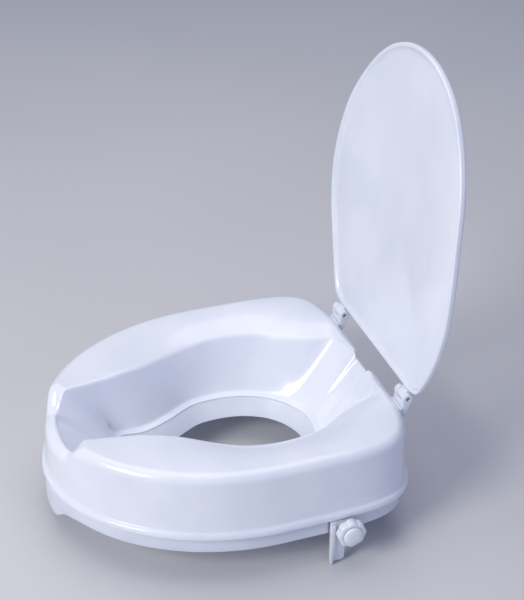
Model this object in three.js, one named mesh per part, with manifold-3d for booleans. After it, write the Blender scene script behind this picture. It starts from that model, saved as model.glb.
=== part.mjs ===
// Raised toilet seat with a hinged lid and two screw clamps that grip the bowl.
// Millimetres, +Z up, front towards -Y. The origin is the centre of the bowl rim plane that it rests on.
// "left" and "right" are the sitter's: left is +X.
import * as THREE from 'three';
import { ParametricGeometry } from 'three/addons/geometries/ParametricGeometry.js';
import { mergeVertices } from 'three/addons/utils/BufferGeometryUtils.js';
import Module from 'manifold-3d';

const wasm = await Module();
wasm.setup();

// ---- driving dimensions ----
const gap = 0.3;                    // clearance between pieces that touch

// plan of the seat
const seatWidth = 380;
const frontReach = 220;             // from the origin to the front of the bead
const rearReach = 201;
const widestY = 16;                 // where the seat is widest
const frontRoundness = 1.95;        // exponents of the two halves of the oval
const rearRoundness = 5.2;

// heights
const ringHeight = 22.7;            // base ring, under the shell
const shellHeight = 85.4;
const shellBase = ringHeight + gap;
const seatTop = shellBase + shellHeight;

// shell section
const wall = 4;
const beadHeight = 10.5;
const beadDepth = 4.5;              // how far the bead stands out from the skirt
const draft = 7;                    // inset of the skirt's top from the bead
const edgeRadius = 12;              // rounded outer edge of the rim
const rearEdgeRadius = 5;
const rimFall = 12;                 // drop of the rim from its crest to the aperture
const wingFall = 1.5;               // the same on the two front wings
const dipFall = 6;
const rearFall = 3;
const fallStart = 145;              // the fall grows from here, in front of the origin
const fallRun = 165;
const ledgeWidth = 8;
const ledgeRise = 3;

// keyhole aperture at the rim and at the ledge
const apertureHalf = 116;
const ledgeHalf = 94;
const apertureY = 36;               // where the aperture is widest
const frontChannelHalf = 52;
const rearChannelHalf = 66;
const frontEdgeWidth = 25;          // rim left in front of the front channel
const rearEdgeWidth = 13;
const ledgeFront = -128;
const ledgeRear = 131;
const frontDip = 24;                // how far the front channel cuts down into the rim
const dipRun = 28;                  // length of each rounded step beside it
const rearSag = 5;
const rearNotch = 9;
const rearNotchHalf = 24;

// base ring
const bandInset = 8.5;
const plateThickness = 3;
const padThickness = 2;
const collarLean = 12;              // the collar narrows towards the bowl
const tongueDepth = 16;             // locating lip at the front
const tongueHalf = 22;
const tongueFade = 32;
const frontInset = 2.5;             // the band comes out nearly flush with the bead at the front
const frontInsetHalf = 30;
const frontInsetFade = 60;
const postRadius = 6;
const postInset = 14.5;
const postHeight = 40;
const rimPadLength = 46;
const rimPadWidth = 16;
const rimPadStandOff = 21;           // from the band's inner face to the pad
const rimPadCorner = 3;
const rimPadShares = [0.17, 0.38, 0.62, 0.83];
const ringScrewRadius = 1.8;
const ringScrewLength = 36;
const ringScrewHead = 4;
const ringScrewHeadHeight = 2.6;
const ringHeadDepth = 6;            // how deep the heads sit in the ring

// lid
const lidHalfWidth = 172.5;
const lidLength = 396;              // hinge axis to the tip
const lidRearEdge = 9;              // hinge axis to the lid's rear edge
const lidWidestAt = 184;
const lidThickness = 4;
const lidCrown = 11;
const lidLip = 4;
const lidSet = 6;                   // the plate stands this far off the hinge axis
const lidBow = 9;                   // how far its middle curves down towards the seat
const lidFlatEnd = 38;              // the stretch by the hinges that stays flat
const lidOpenAngle = 96.2;          // from a level lid
const lidFlatRim = 40;              // the dome starts this far in from the edge
const lidDomeRun = 70;

// lid hinges
const hingeX = 99;
const hingeRise = 6.8;              // axis above the rim
const earThickness = 6.5;
const earRadius = 6.5;
const knuckleWidth = 13.2;
const knuckleGap = 0.4;
const pinRadius = 2.5;
const pinRecess = 3.5;              // the pin's ends sit this far inside the ears
const hingePlate = 3;
const hingePlateHeight = 20;
const landDrop = 4.4;               // the lands for the plates start below the rim
const earLean = 0.42;               // slope of the gusset's outer side, in radians
const earFoot = 8;                  // the gusset ends above the plate's foot
const hingeScrewRadius = 1.9;
const hingeScrewHead = 3.8;
const hingeScrewHeadHeight = 2.2;
const hingeScrewDepth = 12;
const leafLength = 36;
const leafWidth = 20;
const leafThickness = 3;

// clamps
const clampY = 96;
const clampZ = 9;                   // stud axis
const clampTravel = 4;
const bracketReach = 21;            // the bracket's front edge to the stud axis
const bracketHead = 30;             // width of the plate behind the knob
const bracketWidth = 18;            // width of the hanging leg
const bracketWeb = 4;
const bracketRib = 5;
const ribProud = 3.5;
const bracketDrop = 38;
const studRadius = 3;
const studRoot = 16;                 // how deep the stud sits in the ring
const washerThickness = 1.5;
const washerRadius = 8;
const knobRadius = 17.5;
const knobLength = 11;
const knobLobes = 8;
const knobLobeDepth = 1.6;
const knobEdge = 1.2;
const knobCapRadius = 12;
const knobCapHeight = 5;
const insertRadius = 5.5;
const clampPadThickness = 3;

// sampling
const stations = 64;
const lidStations = 56;
const stationCrowding = 0.4;        // stations stand closer at the front and rear

// ---- materials ----
const finish = (color, roughness, metalness = 0) => () =>
  new THREE.MeshStandardMaterial({ color, roughness, metalness });
const whiteGloss = finish(0xe9edf6, 0.22);
const whiteSatin = finish(0xdde1ea, 0.45);
const zincSteel = finish(0xb9bcc2, 0.35, 1);
const brassInsert = finish(0xb89a55, 0.35, 1);
const greyRubber = finish(0x5a5d63, 0.85);

// ---- solids ----
function closedGeometry(geometry) {
  geometry.deleteAttribute('normal');
  geometry.deleteAttribute('uv');
  const merged = mergeVertices(geometry, 1e-4);
  const index = merged.index.array;
  const kept = [];
  for (let i = 0; i < index.length; i += 3) {
    const [a, b, c] = index.slice(i, i + 3);
    if (a !== b && b !== c && c !== a) kept.push(a, b, c);
  }
  merged.setIndex(kept);
  return merged;
}

function toSolid(geometry) {
  const closed = closedGeometry(geometry.clone());
  const mesh = new wasm.Mesh({
    numProp: 3,
    vertProperties: new Float32Array(closed.attributes.position.array),
    triVerts: new Uint32Array(closed.index.array),
  });
  return new wasm.Manifold(mesh);
}

function toGeometry(solid) {
  const mesh = solid.getMesh();
  const geometry = new THREE.BufferGeometry();
  geometry.setAttribute('position', new THREE.BufferAttribute(mesh.vertProperties, 3));
  geometry.setIndex(new THREE.BufferAttribute(mesh.triVerts, 1));
  return geometry;
}

function combine(base, added = [], cut = []) {
  let solid = toSolid(base);
  for (const geometry of added) solid = solid.add(toSolid(geometry));
  for (const geometry of cut) solid = solid.subtract(toSolid(geometry));
  return toGeometry(solid);
}

function mirrored(geometry) {
  const copy = closedGeometry(geometry.clone());
  copy.scale(-1, 1, 1);
  const index = copy.index.array;
  for (let i = 0; i < index.length; i += 3) [index[i], index[i + 1]] = [index[i + 1], index[i]];
  return copy;
}

function box(low, high) {
  const size = high.map((value, axis) => value - low[axis]);
  const geometry = new THREE.BoxGeometry(...size);
  return geometry.translate(...low.map((value, axis) => value + size[axis] / 2));
}

// a cylinder along +Z, +Y or +X from its start point
function rod(axis, start, length, radius, sides = 16) {
  const geometry = new THREE.CylinderGeometry(radius, radius, length, sides);
  if (axis === 'z') geometry.rotateX(Math.PI / 2);
  if (axis === 'x') geometry.rotateZ(-Math.PI / 2);
  const middle = { x: [length / 2, 0, 0], y: [0, length / 2, 0], z: [0, 0, length / 2] }[axis];
  return geometry.translate(...start.map((value, i) => value + middle[i]));
}

// an outline in the Y-Z plane, extruded along +X
function alongX(shape, startX, length, curveSegments = 10) {
  const geometry = new THREE.ExtrudeGeometry(shape, { depth: length, bevelEnabled: false, curveSegments });
  const turn = new THREE.Matrix4().makeBasis(
    new THREE.Vector3(0, 1, 0), new THREE.Vector3(0, 0, 1), new THREE.Vector3(1, 0, 0));
  return geometry.applyMatrix4(turn).translate(startX, 0, 0);
}

// a screw with its head's underside at the origin and its shank along -Z
function screw(shankRadius, shankLength, headRadius, headHeight) {
  const outline = [
    [0, headHeight], [headRadius * 0.7, headHeight], [headRadius, headHeight * 0.4], [headRadius, 0],
    [shankRadius, 0], [shankRadius, -shankLength + shankRadius], [0, -shankLength],
  ].map(([r, z]) => new THREE.Vector2(r, z)).reverse();
  return new THREE.LatheGeometry(outline, 12).rotateX(Math.PI / 2);
}

// ---- plan curves ----
const smooth = (value) => THREE.MathUtils.smoothstep(value, 0, 1);
const mix = THREE.MathUtils.lerp;

function closedCurve(points) {
  const curve = new THREE.CatmullRomCurve3(points.map(([x, y]) => new THREE.Vector3(x, y, 0)), true);
  curve.arcLengthDivisions = 1200;
  return curve;
}

// both halves of an oval, each a superellipse, from its front centre round by +X
function oval(half, centreY, frontLength, rearLength, frontPower, rearPower, count = 96) {
  const points = [];
  for (let i = 0; i < count; i++) {
    const angle = (i / count) * 2 * Math.PI - Math.PI / 2;
    const [c, s] = [Math.cos(angle), Math.sin(angle)];
    const [power, reach] = s < 0 ? [frontPower, frontLength] : [rearPower, rearLength];
    const radius = (Math.abs(c / half) ** power + Math.abs(s / reach) ** power) ** (-1 / power);
    points.push([radius * c, centreY + radius * s]);
  }
  return closedCurve(points);
}

function symmetricCurve(halfPoints) {
  const back = halfPoints.slice(1, -1).reverse().map(([x, y]) => [-x, y]);
  return closedCurve([...halfPoints, ...back]);
}

const seatCurve = oval(seatWidth / 2, widestY, frontReach + widestY, rearReach - widestY,
  frontRoundness, rearRoundness);

const frontEdgeY = -frontReach + frontEdgeWidth;
const rearEdgeY = rearReach - rearEdgeWidth;
const rimCurve = symmetricCurve([
  [0, frontEdgeY],
  [frontChannelHalf * 0.65, frontEdgeY + 2],
  [frontChannelHalf * 0.96, frontEdgeY + 14],
  [frontChannelHalf * 1.08, mix(frontEdgeY, apertureY, 0.2)],
  [frontChannelHalf * 1.2, mix(frontEdgeY, apertureY, 0.34)],
  [mix(frontChannelHalf, apertureHalf, 0.38), mix(frontEdgeY, apertureY, 0.52)],
  [mix(frontChannelHalf, apertureHalf, 0.74), mix(frontEdgeY, apertureY, 0.72)],
  [apertureHalf * 0.955, mix(frontEdgeY, apertureY, 0.85)],
  [apertureHalf, apertureY],
  [apertureHalf * 0.94, mix(apertureY, rearEdgeY, 0.34)],
  [mix(apertureHalf, rearChannelHalf, 0.56), mix(apertureY, rearEdgeY, 0.57)],
  [rearChannelHalf * 1.12, mix(apertureY, rearEdgeY, 0.75)],
  [rearChannelHalf, mix(apertureY, rearEdgeY, 0.92)],
  [rearChannelHalf * 0.55, rearEdgeY - 1],
  [0, rearEdgeY],
]);

const ledgeCurve = symmetricCurve([
  [0, ledgeFront],
  [frontChannelHalf * 0.75, ledgeFront + 2],
  [frontChannelHalf * 1.08, ledgeFront + 13],
  [frontChannelHalf * 1.08, mix(ledgeFront, apertureY, 0.28)],
  [mix(frontChannelHalf, ledgeHalf, 0.38), mix(ledgeFront, apertureY, 0.46)],
  [ledgeHalf * 0.96, mix(ledgeFront, apertureY, 0.72)],
  [ledgeHalf, apertureY - 6],
  [ledgeHalf * 0.93, mix(apertureY, ledgeRear, 0.3)],
  [ledgeHalf * 0.74, mix(apertureY, ledgeRear, 0.64)],
  [ledgeHalf * 0.42, mix(apertureY, ledgeRear, 0.89)],
  [0, ledgeRear],
]);

// a curve's point at a share of its length, moved inwards by inset
function planPoint(curve, share, inset = 0) {
  const point = curve.getPointAt(share);
  const tangent = curve.getTangentAt(share);
  return new THREE.Vector2(point.x - tangent.y * inset, point.y + tangent.x * inset);
}

// station t in 0..1 to a share of the curve's length
const stationShare = (t) => {
  const share = t - (stationCrowding / (4 * Math.PI)) * Math.sin(4 * Math.PI * t);
  return share >= 1 ? 0 : Math.max(share, 0);
};

// a closed ring swept round the plan: section(share) gives its corners as [Vector2, z]
function sweptRing(section) {
  const sections = [];
  for (let i = 0; i < stations; i++) sections.push(section(stationShare(i / stations)));
  const corners = sections[0].length;
  const surface = (u, v, target) => {
    const [plan, z] = sections[Math.round(u * stations) % stations][Math.round(v * corners) % corners];
    target.set(plan.x, plan.y, z);
  };
  return closedGeometry(new ParametricGeometry(surface, stations, corners));
}

// ---- seat shell ----
const seatLength = seatCurve.getLength();
const fromFront = (share) => Math.min(share, 1 - share) * seatLength;
const fromRear = (share) => Math.abs(share - 0.5) * seatLength;

const fadeOut = (distance, edge, run) => smooth((edge - distance) / run);
const frontDipAt = (share) => fadeOut(fromFront(share), frontChannelHalf + dipRun * 0.8, dipRun);
const rearNotchAt = (share) => fadeOut(fromRear(share), rearNotchHalf + 3, 9);
const rearSagAt = (share) => fadeOut(fromRear(share), rearChannelHalf + 12, 60);
const crestZ = (share) =>
  seatTop - frontDip * frontDipAt(share) - rearSag * rearSagAt(share) - rearNotch * rearNotchAt(share);
const rimFallAt = (share) => {
  const alongSide = (seatCurve.getPointAt(share).y + fallStart) / fallRun;
  return mix(wingFall, rimFall, smooth(alongSide));
};
const innerEdgeZ = (share) =>
  crestZ(share) - mix(mix(rimFallAt(share), dipFall, frontDipAt(share)), rearFall, rearSagAt(share));
const roundingAt = (share) => mix(edgeRadius, rearEdgeRadius, rearSagAt(share));

const ledgeTop = shellBase + ledgeRise;

// the aperture wall runs straight from the ledge to the rim
function apertureWall(share, z) {
  const rise = (z - ledgeTop) / (innerEdgeZ(share) - ledgeTop);
  return planPoint(ledgeCurve, share).lerp(planPoint(rimCurve, share), rise);
}

function skirtInset(z, share) {
  const skirtBase = shellBase + beadHeight;
  const skirtTop = crestZ(share) - roundingAt(share);
  return mix(beadDepth, draft, THREE.MathUtils.clamp((z - skirtBase) / (skirtTop - skirtBase), 0, 1));
}

// highest z at which the hollow still fits between skirt and aperture wall
function hollowTop(share) {
  let z = innerEdgeZ(share) - wall - 2;
  const room = () => {
    const outer = planPoint(seatCurve, share, skirtInset(z, share) + wall);
    return outer.distanceTo(apertureWall(share, z)) - wall * 1.8;
  };
  while (room() < wall && z > shellBase + beadHeight) z -= 1;
  return z;
}

function shellSection(share) {
  const crest = crestZ(share);
  const radius = roundingAt(share);
  const edge = innerEdgeZ(share);
  const outer = (inset, z) => [planPoint(seatCurve, share, inset), z];
  const beadProfile = [[3, 0], [0.6, 1.4], [0, 4], [0.8, 7], [beadDepth, beadHeight]];
  const bead = beadProfile.map(([inset, rise]) => outer(inset, shellBase + rise));
  const rounding = [0, 30, 60, 90].map((degrees) => {
    const angle = THREE.MathUtils.degToRad(degrees);
    return outer(draft + radius * (1 - Math.cos(angle)), crest - radius * (1 - Math.sin(angle)));
  });
  const crestPoint = rounding.at(-1)[0];
  const edgePoint = planPoint(rimCurve, share);
  const crown = [[0.45, 0.2], [0.82, 0.6]].map(([along, fall]) =>
    [crestPoint.clone().lerp(edgePoint, along), mix(crest, edge, fall)]);
  const lowEdge = edge - 5;
  const ledgeOuter = planPoint(ledgeCurve, share);
  const ledgeInner = planPoint(ledgeCurve, share, ledgeWidth);
  const top = hollowTop(share);
  const hollowInner = apertureWall(share, top);
  const hollowOuter = planPoint(seatCurve, share, skirtInset(top, share) + wall);
  const room = hollowOuter.distanceTo(hollowInner);
  const away = hollowOuter.clone().sub(hollowInner).normalize().multiplyScalar(wall * 1.4);
  hollowInner.add(away);
  const arch = mix(top, crest - wall, THREE.MathUtils.clamp((room - 20) / 40, 0, 1));
  return [
    ...bead, ...rounding, ...crown,
    [edgePoint, edge],
    [apertureWall(share, lowEdge), lowEdge],
    [ledgeOuter, ledgeTop],
    [ledgeInner, ledgeTop - 1],
    [ledgeInner, shellBase],
    [planPoint(ledgeCurve, share, -wall), shellBase],
    [hollowInner, top],
    [hollowOuter.clone().lerp(hollowInner, 0.3), Math.max(arch, top)],
    [hollowOuter, Math.min(top, crest - radius)],
    [planPoint(seatCurve, share, beadDepth + wall), shellBase],
  ];
}

// flat lands on the back wall that carry the hinge plates
const plateHalf = knuckleWidth / 2 + knuckleGap + earThickness;
const landTop = seatTop - landDrop;
const landBottom = landTop - hingePlateHeight - 2;
const rearWallY = (x) => {
  const across = Math.abs(x / (seatWidth / 2)) ** rearRoundness;
  return widestY + (rearReach - widestY) * (1 - across) ** (1 / rearRoundness) - draft;
};
const landY = rearWallY(hingeX - plateHalf - 1) + 0.6;
const hingeScrewZ = [landBottom + 4.5, landBottom + 16.5];

// the ring's screws, clear of the clamps on both sides
let clampShare = 0.25;
while (seatCurve.getPointAt(clampShare).y < clampY) clampShare += 0.002;
const halfShares = [
  clampShare * 0.24, clampShare * 0.68, mix(clampShare, 0.5, 0.38), mix(clampShare, 0.5, 0.82)];
const postShares = [...halfShares, ...halfShares.map((share) => 1 - share).reverse()];
const postPlaces = postShares.map((share) => planPoint(seatCurve, share, postInset));

function seatShell() {
  const landHalf = plateHalf + 1;
  const lands = [1, -1].map((side) =>
    box([side * hingeX - landHalf, landY - 9, landBottom], [side * hingeX + landHalf, landY, landTop]));
  const posts = postPlaces.map(({ x, y }) => rod('z', [x, y, shellBase], postHeight, postRadius));
  const pilots = postPlaces.map(({ x, y }) =>
    rod('z', [x, y, shellBase - 1], postHeight - 8, ringScrewRadius + gap, 12));
  const hingeHoles = [1, -1].flatMap((side) => hingeScrewZ.map((z) =>
    rod('y', [side * hingeX, landY - hingeScrewDepth, z], hingeScrewDepth + 1, hingeScrewRadius + gap, 12)));
  return combine(sweptRing(shellSection), [...lands, ...posts], [...pilots, ...hingeHoles]);
}

// ---- base ring ----
const plateBottom = padThickness + gap;
const plateTop = plateBottom + plateThickness;
const tongueAt = (share) => fadeOut(fromFront(share), tongueHalf + tongueFade, tongueFade);
const bandInsetAt = (share) =>
  mix(bandInset, frontInset, fadeOut(fromFront(share), frontInsetHalf + frontInsetFade, frontInsetFade));

function ringSection(share) {
  const lip = -tongueDepth * tongueAt(share);
  const outset = bandInset - bandInsetAt(share);
  const outer = (inset, z) => [planPoint(seatCurve, share, inset - outset), z];
  const collar = (inset, z) => [planPoint(ledgeCurve, share, inset), z];
  return [
    outer(bandInset + 1.2, lip), outer(bandInset, lip + 1.2), outer(bandInset, ringHeight),
    outer(bandInset + wall, ringHeight), outer(bandInset + wall, plateTop),
    collar(ledgeWidth - wall, plateTop), collar(ledgeWidth - wall, ringHeight),
    collar(ledgeWidth, ringHeight), collar(ledgeWidth + collarLean, 0),
    collar(ledgeWidth + collarLean - wall, 0), collar(ledgeWidth + collarLean - wall, plateBottom),
    outer(bandInset + wall, plateBottom), outer(bandInset + wall, lip),
  ];
}

// clamp stations on the seat's plan
const bandX = (() => {
  const across = Math.abs((clampY - widestY) / (rearReach - widestY)) ** rearRoundness;
  return (seatWidth / 2) * (1 - across) ** (1 / rearRoundness) - bandInset;
})();
const clampStack = bracketWeb + ribProud + washerThickness + gap;
const bracketX = bandX + bandInset + gap + clampTravel - clampStack;  // closed, the knob just clears the bead
const pocketX = bracketX - clampTravel - gap * 2;
const bracketFront = clampY - bracketReach;
const headRear = bracketFront + bracketHead;
const legRear = bracketFront + bracketWidth;
const bracketTop = ringHeight - 1.4;
const headLow = -6;                 // underside of the plate behind the knob
const studStart = pocketX - studRoot;
const knobBack = bracketX + clampStack;
const boreDepth = knobLength - 1;
const studEnd = knobBack + boreDepth - clampTravel - gap;

function baseRing() {
  const bossDepth = 20;
  const margin = 5;
  const bosses = [];
  const cuts = [];
  for (const side of [1, -1]) {
    const reach = (low, high) => (side > 0 ? [low, high] : [-high, -low]);
    const [bossLow, bossHigh] = reach(pocketX - bossDepth, bandX - 0.6);
    bosses.push(box([bossLow, bracketFront - margin, plateBottom],
      [bossHigh, headRear + margin, ringHeight]));
    const [cutLow, cutHigh] = reach(pocketX, bandX + 10);
    cuts.push(box([cutLow, bracketFront - gap * 2, -1],
      [cutHigh, headRear + gap * 2, ringHeight + 1]));
    const [studLow, studHigh] = reach(studStart - gap, pocketX + 1);
    cuts.push(rod('x', [studLow, clampY, clampZ], studHigh - studLow, studRadius + gap, 24));
  }
  for (const { x, y } of postPlaces) {
    bosses.push(rod('z', [x, y, plateBottom], ringHeight - plateBottom, postRadius));
    cuts.push(rod('z', [x, y, -1], ringHeight + 2, ringScrewRadius + gap, 12));
    cuts.push(rod('z', [x, y, -1], 1 + ringHeadDepth + plateBottom, ringScrewHead + gap));
  }
  return combine(sweptRing(ringSection), bosses, cuts);
}

function ringScrew({ x, y }) {
  const geometry = screw(ringScrewRadius, ringScrewLength, ringScrewHead - gap, ringScrewHeadHeight);
  return geometry.rotateX(Math.PI).translate(x, y, ringHeadDepth + plateBottom - gap);
}

// anti-slip pads, on the straightest stretches of the ring
function rimPad(share) {
  const place = planPoint(seatCurve, share, bandInset + wall + rimPadStandOff + rimPadWidth / 2);
  const tangent = seatCurve.getTangentAt(share);
  const corner = rimPadCorner;
  const [halfLength, halfWidth] = [rimPadLength / 2, rimPadWidth / 2];
  const shape = new THREE.Shape();
  shape.moveTo(-halfLength + corner, -halfWidth);
  shape.lineTo(halfLength - corner, -halfWidth);
  shape.absarc(halfLength - corner, -halfWidth + corner, corner, -Math.PI / 2, 0);
  shape.absarc(halfLength - corner, halfWidth - corner, corner, 0, Math.PI / 2);
  shape.absarc(-halfLength + corner, halfWidth - corner, corner, Math.PI / 2, Math.PI);
  shape.absarc(-halfLength + corner, -halfWidth + corner, corner, Math.PI, Math.PI * 1.5);
  const options = { depth: padThickness, bevelEnabled: false, curveSegments: 3 };
  const geometry = new THREE.ExtrudeGeometry(shape, options);
  return geometry.rotateZ(Math.atan2(tangent.y, tangent.x)).translate(place.x, place.y, 0);
}

// ---- lid, in its closed position with the hinge axis through the origin ----
// half outline from the tip round to the rear edge: share of the half width, share of the way to the tip
const lidOutline = [
  [0, 1], [0.155, 0.9939], [0.3, 0.9754], [0.465, 0.9386], [0.618, 0.8833], [0.76, 0.8056],
  [0.89, 0.7002], [0.965, 0.5702], [1, 0.4372], [0.985, 0.3124], [0.918, 0.1967], [0.84, 0.1057],
  [0.778, 0.0504], [0.725, 0.0146], [0.62, 0], [0.45, 0], [0.2, 0], [0, 0],
];
const lidCurve = symmetricCurve(lidOutline.map(([x, y]) =>
  [x * lidHalfWidth, -mix(lidRearEdge, lidLength, y)]));
const lidUnder = lidSet - hingeRise + 1.2;
const lidFace = lidUnder + lidLip;
const lidBack = lidFace + lidThickness;

function lid() {
  const centre = new THREE.Vector2(0, -lidWidestAt);
  // [inset from the edge, z], across the inner face, round the lip and over the back
  const dome = (inset) => lidCrown * smooth((inset - lidFlatRim) / lidDomeRun);
  const bowRun = lidLength - lidFlatEnd;
  const bow = (y) => {
    const along = THREE.MathUtils.clamp((-y - lidFlatEnd) / bowRun, 0, 1);
    return lidBow * 0.5 * (1 - Math.cos(2 * Math.PI * along));
  };
  const face = [120, 90, 65, 40].map((inset) => [inset, lidFace + dome(inset)]);
  const lip = [[7, lidFace], [4.5, lidUnder], [1.2, lidUnder], [0, lidUnder + 1.5], [0, lidBack - 2.5]];
  const back = [5, 40, 65, 90, 120].map((inset) => [inset, lidBack + dome(inset)]);
  const rows = [null, ...face, ...lip, ...back, null];
  const last = rows.length - 1;
  const surface = (u, v, target) => {
    const row = Math.round(v * last);
    if (rows[row] === null) {
      target.set(centre.x, centre.y, (row === 0 ? lidFace : lidBack) + lidCrown - bow(centre.y));
      return;
    }
    const plan = planPoint(lidCurve, stationShare(u));
    const [inset, z] = rows[row];
    const away = plan.clone().sub(centre);
    plan.copy(centre).add(away.multiplyScalar(1 - inset / away.length()));
    target.set(plan.x, plan.y, z - bow(plan.y));
  };
  const plate = closedGeometry(new ParametricGeometry(surface, lidStations, last));
  const holes = [1, -1].flatMap((side) => leafScrewY.map((y) =>
    rod('z', [side * hingeX, y, lidFace + 1], lidThickness, hingeScrewRadius + gap, 12)));
  return combine(plate, [], holes);
}

// ---- hinges ----
const axisY = landY + gap + hingePlate + earRadius - 2.8;
const axisZ = seatTop + hingeRise;
const leafScrewY = [-(lidRearEdge + 7), -(leafLength - 6)];
const leafScrewLength = leafThickness + lidThickness - 1.6;

function hingeBracket(x) {
  const plateFace = landY + gap;
  const foot = plateFace + hingePlate;
  const plateLow = landBottom + 1;
  const plateHigh = plateLow + hingePlateHeight;
  const ear = new THREE.Shape();
  ear.moveTo(plateFace, plateLow + earFoot);
  ear.lineTo(foot, plateLow + earFoot);
  ear.absarc(axisY, axisZ, earRadius, -earLean, Math.PI + 0.35, false);
  ear.lineTo(plateFace, plateHigh);
  const inner = knuckleWidth / 2 + knuckleGap;
  const ears = [x - inner - earThickness, x + inner].map((start) => alongX(ear, start, earThickness, 14));
  const plate = box([x - plateHalf + 1, plateFace, plateLow], [x + plateHalf - 1, foot, plateHigh]);
  const bore = rod('x', [x - plateHalf - 1, axisY, axisZ], 2 * plateHalf + 2, pinRadius + gap, 20);
  const holes = hingeScrewZ.map((z) =>
    rod('y', [x, plateFace - 1, z], hingePlate + 2, hingeScrewRadius + gap, 12));
  return combine(plate, ears, [bore, ...holes]);
}

function hingePin(x) {
  const length = 2 * (plateHalf - pinRecess);
  return rod('x', [x - length / 2, axisY, axisZ], length, pinRadius, 20);
}

function hingeScrew(x, z) {
  const geometry = screw(hingeScrewRadius, hingeScrewDepth - 1, hingeScrewHead, hingeScrewHeadHeight);
  return geometry.rotateX(-Math.PI / 2).translate(x, landY + hingePlate + gap * 2, z);
}

// the lid's half of a hinge: a knuckle with a leaf screwed to the back of the lid
function lidArm(x) {
  const low = lidBack + gap;
  const half = knuckleWidth / 2;
  const neckEnd = -(lidRearEdge - gap * 2);
  const knuckle = rod('x', [x - half, 0, 0], knuckleWidth, earRadius - 0.5, 20);
  const high = low + leafThickness;
  const neck = box([x - half, neckEnd, 0], [x + half, -1, high]);
  const leaf = box([x - leafWidth / 2, -leafLength, low], [x + leafWidth / 2, neckEnd + 1, high]);
  const bore = rod('x', [x - half - 1, 0, 0], knuckleWidth + 2, pinRadius + gap, 20);
  const holes = leafScrewY.map((y) => rod('z', [x, y, low - 1], leafThickness + 2, hingeScrewRadius + gap, 12));
  return combine(knuckle, [neck, leaf], [bore, ...holes]);
}

function leafScrew(x, y) {
  const geometry = screw(hingeScrewRadius, leafScrewLength, hingeScrewHead, hingeScrewHeadHeight);
  return geometry.translate(x, y, lidBack + leafThickness + gap * 2);
}

// ---- clamps, built for the left side ----
function clampBracket() {
  const outer = bracketX + bracketWeb;
  const head = box([bracketX, bracketFront, headLow], [outer, headRear, bracketTop]);
  const leg = box([bracketX, bracketFront, -bracketDrop], [outer, legRear, headLow + 1]);
  const rib = box([bracketX, bracketFront, -bracketDrop - 2],
    [outer + ribProud, bracketFront + bracketRib, bracketTop - 5]);
  const seatPad = rod('x', [bracketX + 1, clampY, clampZ], bracketWeb + ribProud - 1, washerRadius + 1, 20);
  const hole = rod('x', [bracketX - 1, clampY, clampZ], bracketWeb + ribProud + 2, studRadius + gap, 24);
  return combine(head, [leg, rib, seatPad], [hole]);
}

function clampPad() {
  const [front, rear] = [bracketFront + 2, legRear - 2];
  const face = bracketX - gap;
  return box([face - clampPadThickness, front, -bracketDrop + 3], [face, rear, headLow - 1]);
}

function clampStud() {
  return rod('x', [studStart, clampY, clampZ], studEnd - studStart, studRadius, 24);
}

function ringAlongX(startX, length, outerRadius, innerRadius, sides) {
  const section = [[innerRadius, 0], [outerRadius, 0], [outerRadius, length], [innerRadius, length]];
  const outline = [...section, section[0]].map(([r, along]) => new THREE.Vector2(r, along));
  const geometry = new THREE.LatheGeometry(outline, sides);
  return geometry.rotateZ(-Math.PI / 2).translate(startX, clampY, clampZ);
}

function clampWasher() {
  const start = bracketX + bracketWeb + ribProud + gap / 2;
  return ringAlongX(start, washerThickness - gap / 2, washerRadius, studRadius + gap, 20);
}

function clampKnob() {
  const shape = new THREE.Shape();
  const steps = knobLobes * 6;
  for (let i = 0; i < steps; i++) {
    const angle = (i / steps) * 2 * Math.PI;
    const radius = knobRadius - knobLobeDepth * (1 - Math.abs(Math.cos((angle * knobLobes) / 2)));
    const point = [radius * Math.cos(angle), radius * Math.sin(angle)];
    if (i === 0) shape.moveTo(...point);
    else shape.lineTo(...point);
  }
  const bevel = {
    bevelEnabled: true, bevelThickness: knobEdge, bevelSize: knobEdge, bevelOffset: -knobEdge, bevelSegments: 1,
  };
  const body = new THREE.ExtrudeGeometry(shape, { depth: knobLength - 2 * knobEdge, ...bevel });
  body.rotateY(Math.PI / 2).translate(knobBack + knobEdge, clampY, clampZ);
  const bore = rod('x', [knobBack - 1, clampY, clampZ], boreDepth + 1, insertRadius + gap, 20);
  return combine(body, [], [bore]);
}

function knobInsert() {
  return ringAlongX(knobBack + gap, boreDepth - gap * 2, insertRadius, studRadius + gap, 20);
}

function knobCap() {
  const start = knobBack + knobLength + gap;
  const steps = 4;
  const dome = [[0, 0], [knobCapRadius, 0]];
  for (let i = 0; i <= steps; i++) {
    const angle = (i / steps) * (Math.PI / 2);
    dome.push([knobCapRadius * Math.cos(angle), 1.5 + (knobCapHeight - 1.5) * Math.sin(angle)]);
  }
  dome[dome.length - 1][0] = 0;
  const geometry = new THREE.LatheGeometry(dome.map(([r, along]) => new THREE.Vector2(r, along)), 24);
  return geometry.rotateZ(-Math.PI / 2).translate(start, clampY, clampZ);
}

// ---- assembly ----
const group = new THREE.Group();
const sides = [['left', 1], ['right', -1]];

function place(parent, name, geometry, material) {
  const mesh = new THREE.Mesh(closedGeometry(geometry), material());
  mesh.name = name;
  parent.add(mesh);
}

place(group, 'seat_shell', seatShell(), whiteGloss);
place(group, 'base_ring', baseRing(), whiteSatin);
postPlaces.forEach((spot, i) => place(group, `ring_screw_${i + 1}`, ringScrew(spot), zincSteel));
rimPadShares.forEach((share, i) => place(group, `rim_pad_${i + 1}`, rimPad(share), greyRubber));

for (const [side, sign] of sides) {
  place(group, `hinge_bracket_${side}`, hingeBracket(sign * hingeX), whiteGloss);
  place(group, `hinge_pin_${side}`, hingePin(sign * hingeX), zincSteel);
  hingeScrewZ.forEach((z, i) =>
    place(group, `hinge_screw_${side}_${i + 1}`, hingeScrew(sign * hingeX, z), zincSteel));
}

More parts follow.
